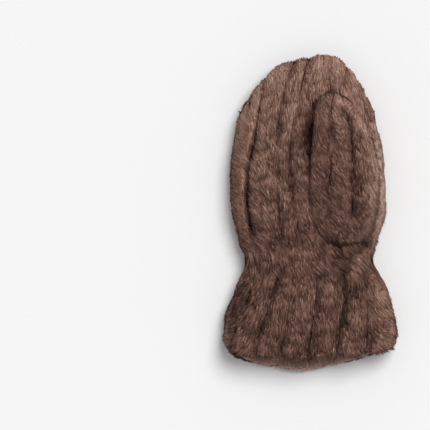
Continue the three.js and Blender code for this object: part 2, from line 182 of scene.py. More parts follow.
# The thumb from its base to its tip: its centre across the palm, shares of its width and rise, and its
# sides' fullness.
THUMB_SECTIONS = table("at centre width rise full", [
    (0, 0.5, 0.34, 0.25, 1.4),
    (0.03, 0.5, 0.62, 0.38, 1.4),
    (0.08, 0.49, 0.84, 0.5, 1.4),
    (0.18, 0.47, 0.97, 0.66, 1.4),
    (0.35, 0.46, 1, 0.84, 1.5),
    (0.55, 0.47, 1, 0.96, 1.9),
    (0.7, 0.48, 0.96, 1, 2.3),
    (0.85, 0.46, 0.86, 1, 2.3),
    (0.94, 0.43, 0.7, 0.85, 2.1),
    (1, 0.4, 0.36, 0.5, 2),
])
# Marks that darken or pale the fur: partly where it parts and shows its dark depth, and painted shade in
# hollows and creases, or with a depth below 0 painted highlights on lit sides: centre, reach across and
# along, depth.
PALM_PARTINGS_AND_PAINTED_LIGHT = table(MARK_COLUMNS, [
    (0.03, 0.65, 0.045, 0.13, 1.8),
    (-0.03, 0.64, 0.07, 0.1, 0.7),
    (0.02, 0.47, 0.04, 0.05, 0.5),
    (0.0, 0.33, 0.03, 0.07, 0.5),
    (0.13, 0.16, 0.05, 0.03, 0.6),
    (0.32, 0.13, 0.12, 0.02, 0.6),
    (0.55, 0.03, 0.25, 0.03, 0.4),
    (-0.82, 0.45, 0.05, 0.06, 0.5),
    (-0.84, 0.22, 0.04, 0.09, 0.15),
    (-0.3, 0.03, 0.2, 0.03, 0.3),
    (0.95, 0.5, 0.13, 0.22, -1.9),
    (0.95, 0.2, 0.1, 0.08, -0.5),
    (0.8, 0.72, 0.05, 0.03, 0.5),
    (-0.62, 0.55, 0.2, 0.1, -0.25),
    (-0.6, 0.3, 0.2, 0.07, -0.25),
])
# Partings and painted light on the cuff: painted shade in creases and on the side away from the light, and
# with a depth below 0 painted highlights on the lit side.
CUFF_PARTINGS_AND_PAINTED_LIGHT = table(MARK_COLUMNS, [
    (0.58, 0.25, 0.17, 0.09, 0.8),
    (0.4, 0.04, 0.12, 0.05, 0.6),
    (-0.4, 0.12, 0.05, 0.09, 0.6),
    (0.13, 0.14, 0.08, 0.025, 0.8),
    (0.88, 0.42, 0.15, 0.25, -0.6),
    (0.9, 0.85, 0.15, 0.12, -0.3),
    (-0.9, 0.45, 0.25, 0.35, 0.4),
    (0.45, 0.55, 0.04, 0.12, 0.6),
    (0.1, 0.75, 0.04, 0.1, 0.5),
    (-0.1, 0.45, 0.2, 0.2, -0.15),
])
# Partings and painted light on the thumb: painted shade in creases at its tip and flanks, and with a depth
# below 0 painted highlights on its lit ridge and outer side.
THUMB_PARTINGS_AND_PAINTED_LIGHT = table(MARK_COLUMNS, [
    (0.05, 0.925, 0.3, 0.025, 1.1),
    (-0.65, 0.8, 0.12, 0.05, 0.5),
    (-0.7, 0.5, 0.12, 0.05, 0.6),
    (0.4, 0.48, 0.12, 0.05, 0.8),
    (0.5, 0.3, 0.12, 0.04, 0.7),
    (-0.1, 0.975, 0.6, 0.03, -0.9),
    (0.75, 0.9, 0.3, 0.05, -0.7),
    (0.2, 0.03, 0.8, 0.04, -0.6),
    (0.95, 0.6, 0.25, 0.28, -1.2),
    (-0.5, 0.88, 0.12, 0.08, -0.4),
    (-0.4, 0.86, 0.2, 0.04, -0.4),
])
THUMB_GROOVES = table("base tip depth start", [(-0.5, -0.55, 0.35, 0.1), (0.38, 0.12, 1, 0.15)])
THUMB_BASE = 0.075  # where the thumb's base seam lies along the hand
HOLE_FROM, HOLE_TO = 0.1, 0.5  # the part of the thumb that opens into the hand
SHOULDER, CORNER = 0.707, 0.72  # where the rounds of the fingertips and of the hem start
PALM_TRIM, BACK_TRIM = 4.0, 2.0  # how much shorter the cuff's hides are than their fur, in millimetres
BEND = 0.42  # the share of a hair's length at which it bends
BLADE = np.array([[0, 1, 2], [3, 2, 1], [0, 3, 1], [0, 2, 3]])  # faces of a hair: root, two at the bend, tip

# Which way the fur is combed, seen from above the palm: degrees from the wrist's way, positive towards
# the thumb's side. A row for each station across, with a column for each station along.
PALM_NAP = nap_table([
    (-1, 55, 62, 65, 62, 40),
    (-0.8, 50, 46, 46, 42, 22),
    (-0.6, 35, 28, 20, 18, 8),
    (-0.35, 22, 8, 4, 3, 0),
    (0, 28, 28, 20, 4, 0),
    (0.35, 40, 30, 20, 8, 4),
    (0.7, 50, 45, 30, 20, 12),
    (1, 55, 48, 42, 36, 24),
])
CUFF_NAP = nap_table([
    (-1, -20, -45, -70, -88, -70),
    (-0.75, -5, -25, -50, -62, -45),
    (-0.5, 5, -8, -16, -20, -14),
    (-0.2, 15, 3, 0, -3, -3),
    (0.2, 25, 8, 3, 2, 2),
    (0.5, 30, 12, 6, 6, 8),
    (0.75, 35, 28, 25, 30, 30),
    (1, 40, 50, 60, 70, 60),
])
BACK_NAP = nap_table([
    (-1, -50, -60, -60, -60, -30),
    (-0.5, -10, -10, -8, -5, 0),
    (0, 0, 0, 0, 0, 0),
    (0.5, 10, 10, 8, 5, 0),
    (1, 50, 60, 60, 60, 30),
])
WRIST_NAP = even_nap([(-1, 20), (-0.4, 26), (0, 34), (0.5, 36), (1, -5)])
HEM_NAP = even_nap([(-1, -40), (0, 0), (1, 40)])
THUMB_NAP = nap_table([
    (-1, 40, 48, 45, 42, 30),
    (-0.4, 45, 40, 38, 36, 25),
    (0.1, 40, 24, 24, 25, 18),
    (0.5, 45, 15, 12, 12, 10),
    (1, 75, 60, 45, 35, 30),
])


def length(name, description, default):
    return FloatProperty(
        name=name, description=description, default=default, min=0, unit="LENGTH", precision=4
    )


def colour(name, description, default):
    return FloatVectorProperty(
        name=name, description=description, default=default, size=3, subtype="COLOR", min=0, max=1
    )


def factor(name, description, default):
    return FloatProperty(name=name, description=description, default=default, min=0, subtype="FACTOR")


def strength(name, description, default):
    return FloatProperty(name=name, description=description, default=default, min=0, subtype="UNSIGNED")


def angle(name, description, degrees):
    return FloatProperty(name=name, description=description, default=math.radians(degrees), unit="ROTATION")


class MittenSizes(bpy.types.PropertyGroup):
    """The mitten's own sizes."""

    hand_length: length("Hand length", "Wrist seam to fingertips", 0.18)
    hand_width: length("Hand width", "Across the knuckles", 0.135)
    hand_height: length("Hand height", "Up to the top of the palm", 0.038)
    wrist_width: length("Wrist width", "Across the gathered wrist", 0.109)
    wrist_height: length("Wrist height", "Up to the top of the wrist", 0.031)
    cuff_length: length("Cuff length", "Wrist seam to the back's hem", 0.099)
    hem_width: length("Hem width", "Across the hem's corners", CUFF_BOX[1][0] - CUFF_BOX[0][0])
    hem_height: length("Hem height", "Up to the top of the hem", 0.037)
    hem_setback: length("Hem setback", "How far the palm's hem stops short of the back's", 0.012)
    seam_height: length("Seam height", "Side seams above the surface", 0.015)
    wall: length("Wall", "Hide with its fur pressed down", 0.008)
    hem_wall: length("Hem wall", "Where the fur thins out at the opening", 0.003)
    hem_round: length("Hem round", "Length over which it thins out", 0.009)
    thumb_length: length("Thumb length", "Base seam to tip", 0.132)
    thumb_width: length("Thumb width", "Across the thumb", 0.058)
    thumb_rise: length("Thumb rise", "Above the palm", 0.021)
    thumb_wall: length("Thumb wall", "Hide with its fur pressed down", 0.006)
    groove_depth: length("Groove depth", "Between two strips of fur", 0.0036)
    lock_height: length("Lock height", "Step at the end of a lock", 0.0013)
    lock_length: length("Lock length", "Along a strip", 0.026)
    puff_height: length("Puff height", "Of the low mounds in the palm", 0.004)
    press_depth: length("Press depth", "How much of the back's fur the surface presses flat", 0.0013)
    seam_gap: length("Seam gap", "Between two sewn edges", 0.0003)


class FurLook(bpy.types.PropertyGroup):
    """How the fur is cut, combed and dyed."""

    nap: length("Nap", "How deep the combed fur lies over the hide", 0.0028)
    hair_length: length("Hair length", "Root to tip", 0.0135)
    hair_width: length("Hair width", "Across one hair or wisp", 0.00048)
    lock_width: length("Lock width", "Across one lock of hairs", 0.0065)
    gather: factor("Gather", "How far a lock draws its tips together", 0.16)
    painted_groove_shade: factor("Gloom", "How much darker the fur is in the grooves", 0.4)
    # Strength of the painted shade in the grooves, where the deeper fur lies in shadow.
    density: factor("Density", "Share of the full number of hairs", 1)
    seed: IntProperty(name="Seed", description="Start of the random numbers", default=7)
    # Dark is also the colour of the painted shade in the grooves and creases, and pale that of the painted
    # highlights on lit sides.
    dark: colour("Dark", "Fur in the grooves and by its roots", (0.045, 0.016, 0.01))
    middle: colour("Middle", "Most of the fur", (0.375, 0.195, 0.142))
    pale: colour("Pale", "Its palest hairs", (0.8, 0.56, 0.47))
    hide: colour("Hide", "Suede inside", (0.33, 0.22, 0.15))


class StudioLook(bpy.types.PropertyGroup):
    """The plain studio."""

    floor: colour("Floor", "The pale surface", (0.9, 0.9, 0.9))
    view_width: length("View width", "What the picture takes in at the surface", 0.3784)
    camera_height: length("Camera height", "Above the surface", 6.0)
    key_light: strength("Key light", "Strength of the side light", 2.15)
    key_spread: angle("Key spread", "How wide the side light is in the sky", 34)
    key_side: angle("Key side", "Where it stands, from the thumb's side towards the tips", 52)
    key_height: angle("Key height", "How high it stands above the surface", 61)
    sky: strength("Sky", "Strength of the even light", 0.43)


def sizes_mm(context):
    """The mitten's sizes in millimetres, with the wrist seam's place."""
    group = context.scene.mitten_sizes
    s = SimpleNamespace(**{name: getattr(group, name) / MM for name in MittenSizes.__annotations__})
    s.wrist_y = (s.cuff_length - s.hand_length) / 2
    return s


def smoothstep(x, low, high):
    """0 up to low and 1 from high on, with the cubic 3t^2 - 2t^3 between them."""
    t = np.clip((x - low) / (high - low), 0, 1)
    return t * t * (3 - 2 * t)


def curve(rows, column, at):
    """A smooth curve through one column of a table: cubic between two rows, its slope at a row that of
    the line from the row before to the row after."""
    place, value = rows["at"], rows[column]
    i = np.searchsorted(place[1:-1], at, side="left")
    rank = np.arange(len(place))
    before, after = np.maximum(rank - 1, 0), np.minimum(rank + 1, len(place) - 1)
    slope = (value[after] - value[before]) / (place[after] - place[before])
    span = place[i + 1] - place[i]
    t = np.clip((at - place[i]) / span, 0, 1)
    ends = (1 + 2 * t) * (1 - t) ** 2 * value[i] + t * t * (3 - 2 * t) * value[i + 1]
    return ends + span * t * (1 - t) * ((1 - t) * slope[i] - t * slope[i + 1])


def round_off(share, square, full):
    """1 in the middle and 0 at an edge, which it meets upright."""
    return np.maximum(0, 1 - np.abs(share) ** square) ** (1 / full)


def edges_of(wrist, widest, start, turn, out, sides, rim):
    """Four edges seen from above: the straight wrist, the rim, the little finger's side and the thumb's
    side. Each side runs from the wrist's half width to the widest one by its share in the table, and the
    rim goes out from the line where the sides turn into it."""
    def side(column, v):
        return wrist + (widest - wrist) * curve(sides, column, v)

    first, last = -side("left", np.array(1.0)), side("right", np.array(1.0))
    return (
        lambda u: (wrist * u, start + 0 * u),
        lambda u: (first + (last - first) * curve(rim, "across", u), turn + out * curve(rim, "out", u)),
        lambda v: (-side("left", v), start + (turn - start) * v),
        lambda v: (side("right", v), start + (turn - start) * v),
    )


def hand_edges(s, inset, trim):
    """The hand's four edges, inset by a wall, with fingertips that are shorter by a trim."""
    wrist, hand = s.wrist_width / 2 - inset, s.hand_width / 2 - inset
    start, shoulder = s.wrist_y + s.seam_gap / 2, s.wrist_y + SHOULDER * s.hand_length - inset / 2
    rise = s.wrist_y + s.hand_length - inset - shoulder - trim
    return edges_of(wrist, hand, start, shoulder, rise, HAND_SIDES, FINGERTIPS)


def cuff_edges(s, inset, trim, setback):
    """The cuff's four edges, inset by a wall, with a hem that is shorter by a trim and a setback."""
    wrist, opening = s.wrist_width / 2 - inset, s.hem_width / 2 - inset
    start, corner = s.wrist_y - s.seam_gap / 2, s.wrist_y - CORNER * s.cuff_length
    drop = s.cuff_length * (1 - CORNER) - setback - trim
    return edges_of(wrist, opening, start, corner, -drop, CUFF_SIDES, HEM)


def in_patch(edges, u, v):
    """The point at u across and v along of the patch between four edges: the near and far edges blended
    along, plus the sides blended across, less the corners' own blend."""
    near, far, left, right = edges
    share = (u + 1) / 2
    one = np.ones_like(u)
    place = []
    for k in (0, 1):
        start = near(-one)[k] * (1 - share) + near(one)[k] * share
        end = left(one)[k] * (1 - share) + right(one)[k] * share
        along = near(u)[k] * (1 - v) + far(u)[k] * v
        across = left(v)[k] * (1 - share) + right(v)[k] * share
        place.append(along + across - start * (1 - v) - end * v)
    return place


class Shell:
    """A panel as a surface over u across it, -1 to 1, and v along it, 0 to 1, in millimetres. point
    gives its smooth form, and furry the same with its strips, grooves, locks and mounds pushed out
    along its normal. inset draws its outline in and trim shortens it at its far edge."""

    puffs, turn, scale = None, 1, 1.0

    def __init__(self, sizes, palm, inset=0.0, trim=0.0):
        self.s, self.palm, self.inset, self.trim = sizes, palm, inset, trim

    def raised(self, u, v, heights, highest, far):
        """The patch's point at its height. A palm side rises from the side seams and a back falls from
        them to the surface, each by its round across and by far, its round along."""
        s = self.s
        x, y = in_patch(self.edges, u, v)
        seam = s.seam_height * curve(heights, "seam", v)
        if self.palm:
            top = s.wrist_height + (highest - s.wrist_height) * curve(heights, "top", v)
            over = round_off(u, 2.6, 2.3) * far
            z = seam + s.seam_gap / 2 + (top - self.inset - seam) * over
        else:
            under = round_off(u, 4, 2.5) * far
            floor = self.inset if self.inset else -s.press_depth
            z = (seam - s.seam_gap / 2) * (1 - under) + floor * under
        return np.stack([x, y, z], axis=-1)

    def normal(self, u, v, step=0.004):
        """The outward normal from two small steps across and two along."""
        low_u, high_u = np.clip(u - step, -1, 1), np.clip(u + step, -1, 1)
        low_v, high_v = np.clip(v - step, 0, 1), np.clip(v + step, 0, 1)
        across = self.point(high_u, v) - self.point(low_u, v)
        along = self.point(u, high_v) - self.point(u, low_v)
        n = np.cross(across, along) * (self.turn if self.palm else -self.turn)
        edge = (np.abs(u) > 0.9995) | (v > 0.9995)
        n[..., 2] = np.where(edge, n[..., 2] * 0.1, n[..., 2])
        return n / np.maximum(np.linalg.norm(n, axis=-1, keepdims=True), 1e-9)

    def lines(self, v):
        """Where the grooves lie across at v and their shares of the groove depth, with a line of no
        depth at each edge."""
        g, side = self.grooves, "palm" if self.palm else "back"
        late = smoothstep(v, 0.82, 0.97)
        lines, depths = [np.full_like(v, -1.0)], [0 * v]
        for k in range(len(g["wrist"])):
            across = np.array([g[name][k] for name in ("wrist", "middle", "upper", "far")])
            row = {"at": GROOVE_STATIONS, "u": across}
            begun = smoothstep(v, g["start"][k] - 0.08, g["start"][k] + 0.08)
            lines.append(curve(row, "u", v))
            depths.append(g[side][k] * begun * (1 - late) + g["end"][k] * late)
        lines.append(np.full_like(v, 1.0))
        depths.append(0 * v)
        return np.stack(lines), np.stack(depths)

    def strip(self, u, v):
        """Which strip u lies in, how far across it from 0 to 1, and the depths of the grooves at its
        sides."""
        lines, depths = self.lines(v)
        k = np.clip((lines[1:-1] < u).sum(axis=0), 0, len(lines) - 2)
        low, high = pick(lines, k), pick(lines, k + 1)
        t = np.clip((u - low) / np.maximum(high - low, 1e-6), 0, 1)
        return k, t, pick(depths, k), pick(depths, k + 1)

    def open_at(self, v, depths):
        """How far open each groove is to the eye: its depth, which comes and goes along it in two slow
        waves."""
        k = np.arange(len(depths))[:, None]
        slow = np.sin(2 * np.pi * (v * (1.7 + 0.37 * (k % 3)) + 0.31 * k))
        wave = slow + 0.5 * np.sin(2 * np.pi * (4.3 * v + 0.7 * k))
        seen = np.clip(0.7 + 0.36 * wave, 0.15, 1.1)
        late = smoothstep(v, 0.8, 0.9)
        return depths * (seen + (1 - seen) * late)

    def hold(self, u, v, k):
        """Keeps the tip of a hair on its own strip, as firmly as the groove beside it is deep."""
        lines, depths = self.lines(v)
        depths = self.open_at(v, depths)
        low, high = pick(lines, k), pick(lines, k + 1)
        inside = np.clip(u, low + 0.006, np.maximum(high - 0.006, low + 0.006))
        depth = np.where(u < low, pick(depths, k), pick(depths, k + 1))
        return u + (inside - u) * smoothstep(depth, 0.1, 0.45)

    def painted_groove_shade(self, u, v):
        """Painted shade beside the grooves, where the deeper fur lies in shadow: a bell curve about 3 mm wide
        on each side of each.
        """
        lines, depths = self.lines(v)
        reach = 2.8 / (self.s.hand_width / 2) * self.scale
        return (self.open_at(v, depths) * np.exp(-(((u - lines) / reach) ** 2))).sum(axis=0)

    def relief(self, u, v):
        """How far the fur stands out from the smooth shell. Between two grooves a strip is crowned like
        a sine raised to a low power, its locks rise like saw teeth along it, and mounds are bell
        curves."""
        s = self.s
        k, t, before, after = self.strip(u, v)
        last = len(self.grooves["wrist"])
        t = np.where(k == 0, t ** (1 / 1.8), np.where(k == last, 1 - (1 - t) ** (1 / 1.8), t))
        crown = np.maximum(np.sin(np.pi * t), 0) ** 0.45
        depth = s.groove_depth * np.where(t < 0.5, before, after)
        phase = v * self.length / s.lock_length + (k % 2) / 2 + 0.12 * np.sin(2.3 * k)
        locks = s.lock_height * teeth(phase) * np.sin(np.pi * t) * ((k > 1) & (k < last - 1))
        begun = smoothstep(v, 0, 0.06)
        ease = begun * (1 - smoothstep(v, 0.9, 1))
        return -depth * (1 - crown) * begun + (locks + self.mounds(u, v)) * ease

    def mounds(self, u, v):
        """The sum of the palm's mounds and hollows, each a bell curve across and along."""
        if self.puffs is None or not self.palm:
            return 0
        p, total = self.puffs, 0
        for k in range(len(p["height"])):
            away = ((u - p["across"][k]) / p["wide"][k]) ** 2 + ((v - p["along"][k]) / p["long"][k]) ** 2
            total = total + self.s.puff_height * p["height"][k] * np.exp(-away)
        return total

    def furry(self, u, v, lift=0.0):
        """The point at u and v with its relief, raised along the normal by lift, and never under the
        surface."""
        place = self.point(u, v) + self.normal(u, v) * (self.relief(u, v) + lift)[..., None]
        place[..., 2] = np.maximum(place[..., 2], 0)
        return place


class HandShell(Shell):
    """The palm or the back of the hand: a patch between its edges, rounded off all round but the wrist."""

    grooves, puffs = HAND_GROOVES, PALM_PUFFS

    def __init__(self, sizes, palm, inset=0.0, trim=0.0):
        super().__init__(sizes, palm, inset, trim)
        self.length = sizes.hand_length
        self.edges = hand_edges(sizes, inset, trim)

    def point(self, u, v):
        far = round_off(v, 5, 2.4) if self.palm else round_off(v, 8, 2.5)
        return self.raised(u, v, HAND_HEIGHTS, self.s.hand_height, far)


class CuffShell(Shell):
    """One half of the cuff: a patch between its edges, rounded off at the sides and open at the hem."""

    grooves, turn = CUFF_GROOVES, -1

    def __init__(self, sizes, palm, inset=0.0, trim=0.0):
        super().__init__(sizes, palm, inset, trim)
        self.length = sizes.cuff_length
        self.edges = cuff_edges(sizes, inset, trim, sizes.hem_setback if palm else 0)

    def point(self, u, v):
        return self.raised(u, v, CUFF_HEIGHTS, self.s.hem_height, 1)


class PalmFurShell(HandShell):
    """The palm with the thumb's mound on it, so that hairs rooted beside the thumb lap up on to it. It
    fades by a share at the thumb's tip."""

    fade = 0.7

    def furry(self, u, v, lift=0.0):
        place = super().furry(u, v, lift)
        p, w, inside = on_thumb(self.s, u, v)
        height = self.s.thumb_rise * curve(THUMB_SECTIONS, "rise", inside) * thumb_round(p, inside)
        height = height * (1 - self.fade * smoothstep(w, 0.82, 0.92))
        place[..., 2] += np.where((np.abs(p) < 1) & (w > 0) & (w < 1), height, 0)
        return place


class ThumbRimShell(PalmFurShell):
    """The palm and the whole of the thumb's mound without strips, for the fur that runs over the
    thumb's rim."""

    fade = 0.0

    def lines(self, v):
        return no_grooves(v)


class HemShell(Shell):
    """The fur that is turned in at the hem: the last part of a cuff panel's inner side, facing into the
    cuff."""

    turn, first = -1, 0.74

    def __init__(self, sizes, palm, nap):
        super().__init__(sizes, not palm)
        self.inner = CuffShell(sizes, palm, sizes.wall + nap, PALM_TRIM if palm else BACK_TRIM)

    def point(self, u, v):
        return self.inner.point(u * 0.985, self.first + (1 - self.first) * v)

    def lines(self, v):
        return no_grooves(v)

    def relief(self, u, v):
        return 0 * u


class WristShell(Shell):
    """Both sides of the wrist seam on the palm: the first part of the cuff backwards, then the first of
    the hand."""

    def __init__(self, sizes):
        super().__init__(sizes, True)
        self.hand, self.cuff = HandShell(sizes, True), CuffShell(sizes, True)

    def either(self, u, v, ask):
        """What the hand or the cuff answers at its own place, whichever v lies on."""
        up, down = 0.12 * np.clip(2 * v - 1, 0, 1), 0.25 * np.clip(1 - 2 * v, 0, 1)
        here, there = ask(self.hand, u, up), ask(self.cuff, u, down)
        on = v > 0.5
        return np.where(on[..., None] if here.ndim > on.ndim else on, here, there)

    def point(self, u, v):
        return self.either(u, v, lambda shell, a, b: shell.point(a, b))

    def lines(self, v):
        return no_grooves(v)

    def relief(self, u, v):
        return self.either(u, v, lambda shell, a, b: shell.relief(a, b))


class ThumbShell(Shell):
    """The thumb over p across it and w along it, standing on the smooth palm."""

    scale = 2.3

    def __init__(self, sizes, inset=0.0):
        super().__init__(sizes, True, inset)
        self.ground = HandShell(sizes, True)
        self.length = sizes.thumb_length

    def across_palm(self, p, w):
        """Where a point of the thumb lies on the palm."""
        s = self.s
        half = np.maximum(0, s.thumb_width / 2 * curve(THUMB_SECTIONS, "width", w) - self.inset)
        half = half / (s.hand_width / 2)
        v = THUMB_BASE + (self.inset + w * (s.thumb_length - 2 * self.inset)) / s.hand_length
        u = np.clip(curve(THUMB_SECTIONS, "centre", w) + p * half, -0.97, 0.97)
        return u, v

    def point(self, p, w):
        place = self.ground.point(*self.across_palm(p, w))
        height = self.s.thumb_rise * curve(THUMB_SECTIONS, "rise", w) - self.inset
        place[..., 2] += np.maximum(height, 0.3) * thumb_round(p, w)
        return place

    def lines(self, w):
        g = THUMB_GROOVES
        lines, depths = [np.full_like(w, -1.0)], [0 * w]
        for k in range(len(g["base"])):
            lines.append(g["base"][k] * (1 - w) + g["tip"][k] * w)
            depths.append(g["depth"][k] * smoothstep(w, g["start"][k], g["start"][k] + 0.1))
        return np.stack([*lines, np.full_like(w, 1.0)]), np.stack([*depths, 0 * w])

    def relief(self, p, w):
        """Its own grooves are bell curves across it, and its locks saw teeth along it, fading at its
        rim."""
        s = self.s
        lines, depths = self.lines(w)
        cuts = (s.groove_depth * depths * np.exp(-(((p - lines) / 0.14) ** 2))).sum(axis=0)
        phase = w * s.thumb_length / s.lock_length + np.where(p < lines[-2], 0.0, 0.5)
        locks = s.lock_height * teeth(phase)
        return (locks - cuts) * thumb_round(p, w)


def teeth(phase):
    """A soft saw: it rises for most of each turn and falls in the rest, from a half below nothing to a
    half above."""
    part = phase - np.floor(phase)
    return np.minimum(part / 0.78, (1 - part) / 0.22) - 0.5


def no_grooves(v):
    """The lines of a shell without grooves: its two edges, of no depth."""
    return np.stack([np.full_like(v, -1.0), np.full_like(v, 1.0)]), np.zeros((2, len(v)))


def on_thumb(s, u, v):
    """Where a place on the palm lies on the thumb: p across it, w along it, and w kept from 0 to 1."""
    w = (v - THUMB_BASE) * s.hand_length / s.thumb_length
    inside = np.clip(w, 0, 1)
    half = s.thumb_width / 2 * curve(THUMB_SECTIONS, "width", inside) / (s.hand_width / 2)
    return (u - curve(THUMB_SECTIONS, "centre", inside)) / half, w, inside


def thumb_round(p, w):
    """The thumb's height as a share of its rise: full in the middle, and upright at its sides and both
    ends."""
    return round_off(p, 2.6, curve(THUMB_SECTIONS, "full", w)) * round_off(2 * w - 1, 8, 2.4)


def marks_at(marks, u, v):
    """The sum of a table's marks at u and v, each a bell curve across and along."""
    return sum(
        depth * np.exp(-(((u - across) / wide) ** 2) - ((v - along) / long) ** 2)
        for across, along, wide, long, depth in zip(*marks.values())
    )


def pick(rows, k):
    """The k-th row's value at each place."""
    return np.take_along_axis(rows, k[None], axis=0)[0]


def crowd(n):
    """n shares from -1 to 1, closer together towards both ends."""
    return -np.cos(np.pi * np.linspace(0, 1, n))


def grid_of(shell, us, vs, lift=0.0, plain=False):
    """A shell as rows of points along vs, each across us."""
    u, v = np.meshgrid(us, vs)
    return shell.point(u, v) if plain else shell.furry(u, v, lift)


def quads(rows, columns, first=0, turned=False):
    """The four corners of each cell of a grid of points."""
    index = first + np.arange(rows * columns).reshape(rows, columns)
    cells = np.stack([index[:-1, :-1], index[:-1, 1:], index[1:, 1:], index[1:, :-1]], axis=-1).reshape(-1, 4)
    return cells[:, ::-1] if turned else cells


def rim_of(rows, columns, first=0):
    """The points round a grid's rim, in order."""
    index = first + np.arange(rows * columns).reshape(rows, columns)
    return np.concatenate([index[0, :-1], index[:-1, -1], index[-1, :0:-1], index[:0:-1, 0]])


def wall_mesh(name, outer, inner):
    """A closed wall between two grids of the same number of points: both faces and a band round the
    rim. Faces of the inner grid take the second material, the hide."""
    rows, columns = outer.shape[:2]
    count = rows * columns
    a, b = rim_of(rows, columns), rim_of(rows, columns, count)
    band = np.stack([a, b, np.roll(b, -1), np.roll(a, -1)], axis=-1)
    faces = np.concatenate([quads(rows, columns), band, quads(rows, columns, count, turned=True)])
    points = np.concatenate([outer.reshape(-1, 3), inner.reshape(-1, 3)]) * MM
    slots = np.zeros(len(faces), np.int32)
    slots[-(rows - 1) * (columns - 1):] = 1
    mesh = mesh_of(name, points, faces, slots)
    if signed_volume(points, faces) < 0:
        mesh.flip_normals()
    return mesh


def signed_volume(points, faces):
    """Six times the volume inside quads that face outwards, and less than nothing where they face
    inwards."""
    a, b, c, d = (points[faces[:, k]] for k in range(4))
    return np.einsum("ij,ij->", a, np.cross(b, c)) + np.einsum("ij,ij->", a, np.cross(c, d))


def mesh_of(name, points, faces, slots=None):
    """A mesh from whole arrays of points and of faces with the same number of corners."""
    mesh = bpy.data.meshes.new(name)
    corners = faces.shape[1]
    mesh.vertices.add(len(points))
    mesh.vertices.foreach_set("co", points.astype(np.float32).ravel())
    mesh.loops.add(faces.size)
    mesh.loops.foreach_set("vertex_index", faces.astype(np.int32).ravel())
    mesh.polygons.add(len(faces))
    mesh.polygons.foreach_set("loop_start", np.arange(0, faces.size, corners, dtype=np.int32))
    if slots is not None:
        mesh.polygons.foreach_set("material_index", slots)
    mesh.update()
    mesh.validate()
    mesh.polygons.foreach_set("use_smooth", np.ones(len(mesh.polygons), bool))
    return mesh


def add_piece(mesh, materials, replaced=()):
    """Puts a mesh in the scene as a piece that rides on the mitten's one body."""
    piece = bpy.data.objects.new(mesh.name, mesh)
    bpy.context.scene.collection.objects.link(piece)
    for material in materials:
        mesh.materials.append(material)
    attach(piece, "root")
    if replaced:
        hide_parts(*replaced)
    return piece


def cut_away(piece, cutter):
    """Takes a closed cutter out of a piece and keeps the result as the piece's own mesh."""
    other = bpy.data.objects.new("cutter", cutter)
    bpy.context.scene.collection.objects.link(other)
    modifier = piece.modifiers.new("cut", "BOOLEAN")
    modifier.operation, modifier.solver, modifier.object = "DIFFERENCE", "EXACT", other
    bpy.context.view_layer.update()
    evaluated = piece.evaluated_get(bpy.context.evaluated_depsgraph_get())
    result = bpy.data.meshes.new_from_object(evaluated)
    piece.modifiers.clear()
    old, name = piece.data, piece.data.name
    piece.data = result
    bpy.data.objects.remove(other)
    bpy.data.meshes.remove(old)
    bpy.data.meshes.remove(cutter)
    result.name = name


def make_panel(context, name, kind, palm, materials):
    """A panel's hide: its fur side sunk by the nap under the fur's own surface, and its plain inner
    side."""
    s, fur = sizes_mm(context), context.scene.mitten_fur
    nap = fur.nap / MM
    trim = 0.0 if kind is HandShell else PALM_TRIM if palm else BACK_TRIM
    us, vs = crowd(71), np.sin(np.pi / 2 * np.linspace(0, 1, 61))
    outer = grid_of(kind(s, palm, 0.0, trim), us, vs, -nap)
    inner = grid_of(kind(s, palm, s.wall, trim), us, vs, plain=True)
    if not palm:
        outer[..., 2] = np.maximum(outer[..., 2], 0.5)
    else:
        inner[..., 2] = np.minimum(inner[..., 2], outer[..., 2] - 0.6)
    return add_piece(wall_mesh(name + "_hide", outer, inner), materials, [name])


def thumb_solid(s, inset, floor, under):
    """The thumb as a closed mound on the palm. floor says how high above the palm it starts, at w along
    it."""
    p, w = np.meshgrid(crowd(51), (1 + crowd(61)) / 2)
    shell = ThumbShell(s, inset)
    base = shell.ground.point(*shell.across_palm(p, w))
    height = s.thumb_rise * curve(THUMB_SECTIONS, "rise", w) - inset
    low = floor(w)
    top = base.copy()
    top[..., 2] += low + (np.maximum(height, low + 0.3) - low) * thumb_round(p, w)
    bottom = base.copy()
    bottom[..., 2] += low - under
    return shell, p, w, top, bottom


def under_palm(s, lift):
    """Everything below the palm's fur, raised by a gap."""
    us, vs = crowd(71), np.sin(np.pi / 2 * np.linspace(0, 1, 61))
    top = grid_of(HandShell(s, True), us, vs, lift)
    bottom = top.copy()
    bottom[..., 2] = -1
    return wall_mesh("under_palm", top, bottom)


def thumb_core(s):
    """The hollow of the thumb, which runs down through the palm where the thumb opens into the hand."""
    def floor(w):
        return np.where((w > HOLE_FROM) & (w < HOLE_TO), -s.wall - 6, s.thumb_wall)

    _, _, _, top, bottom = thumb_solid(s, s.thumb_wall, floor, 0.3)
    return wall_mesh("thumb_core", top, bottom)


